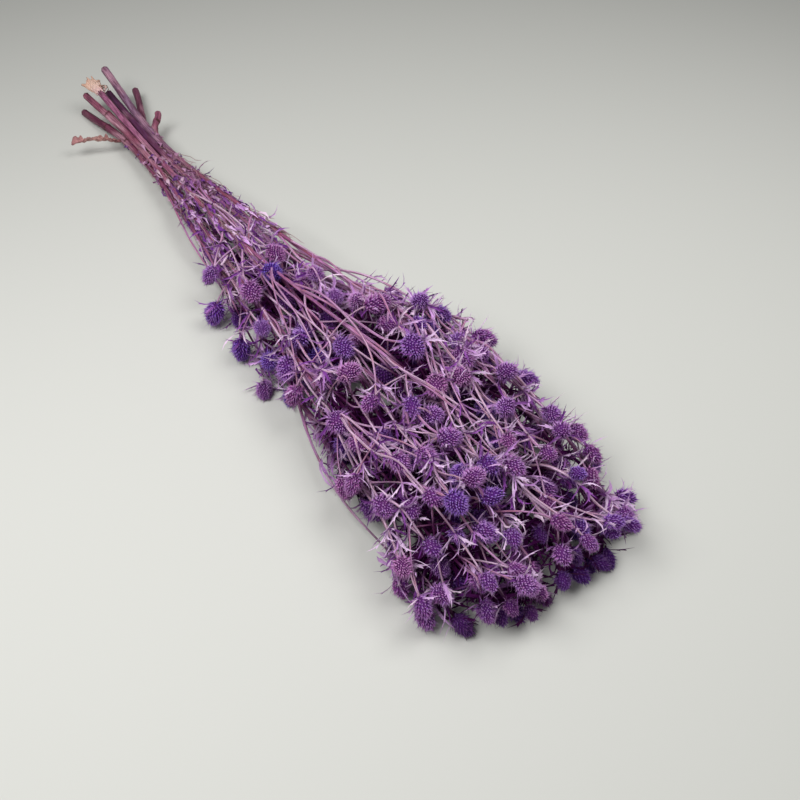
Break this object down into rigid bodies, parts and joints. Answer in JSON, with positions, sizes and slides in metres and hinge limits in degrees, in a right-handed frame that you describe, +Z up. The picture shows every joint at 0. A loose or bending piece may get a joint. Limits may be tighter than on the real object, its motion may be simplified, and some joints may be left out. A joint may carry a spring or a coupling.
{
  "type": "bunch of preserved sea holly",
  "caption": "Loose bunch of dried, violet-dyed sea holly lying on its side: bare cut stems at one end, bristly ovoid flower heads over spiny bracts at the other.",
  "frame": {"origin": "the middle of the bunch's outline on the table, at the height of the table's top", "axes": "+X from the cut stem ends to the flower heads, +Z up from the table; +Y is to the left of someone who looks along +X"},
  "size_m": [0.641, 0.1669, 0.0847],
  "materials": {
    "stem": "matt, dyed mauve to plum",
    "head": "matt, bristly, dyed violet",
    "bract": "matt, papery, dyed pale lilac",
    "withered_leaf": "matt, dry and papery"
  },
  "bodies": {
    "root": {"stem_1": "stem", "stem_2": "stem", "stem_3": "stem", "stem_4": "stem", "stem_5": "stem", "stem_6": "stem", "stem_7": "stem", "stem_8": "stem", "stem_9": "stem", "withered_leaf_tan": "withered_leaf", "withered_leaf_brown": "withered_leaf"}
  },
  "joints": []
}
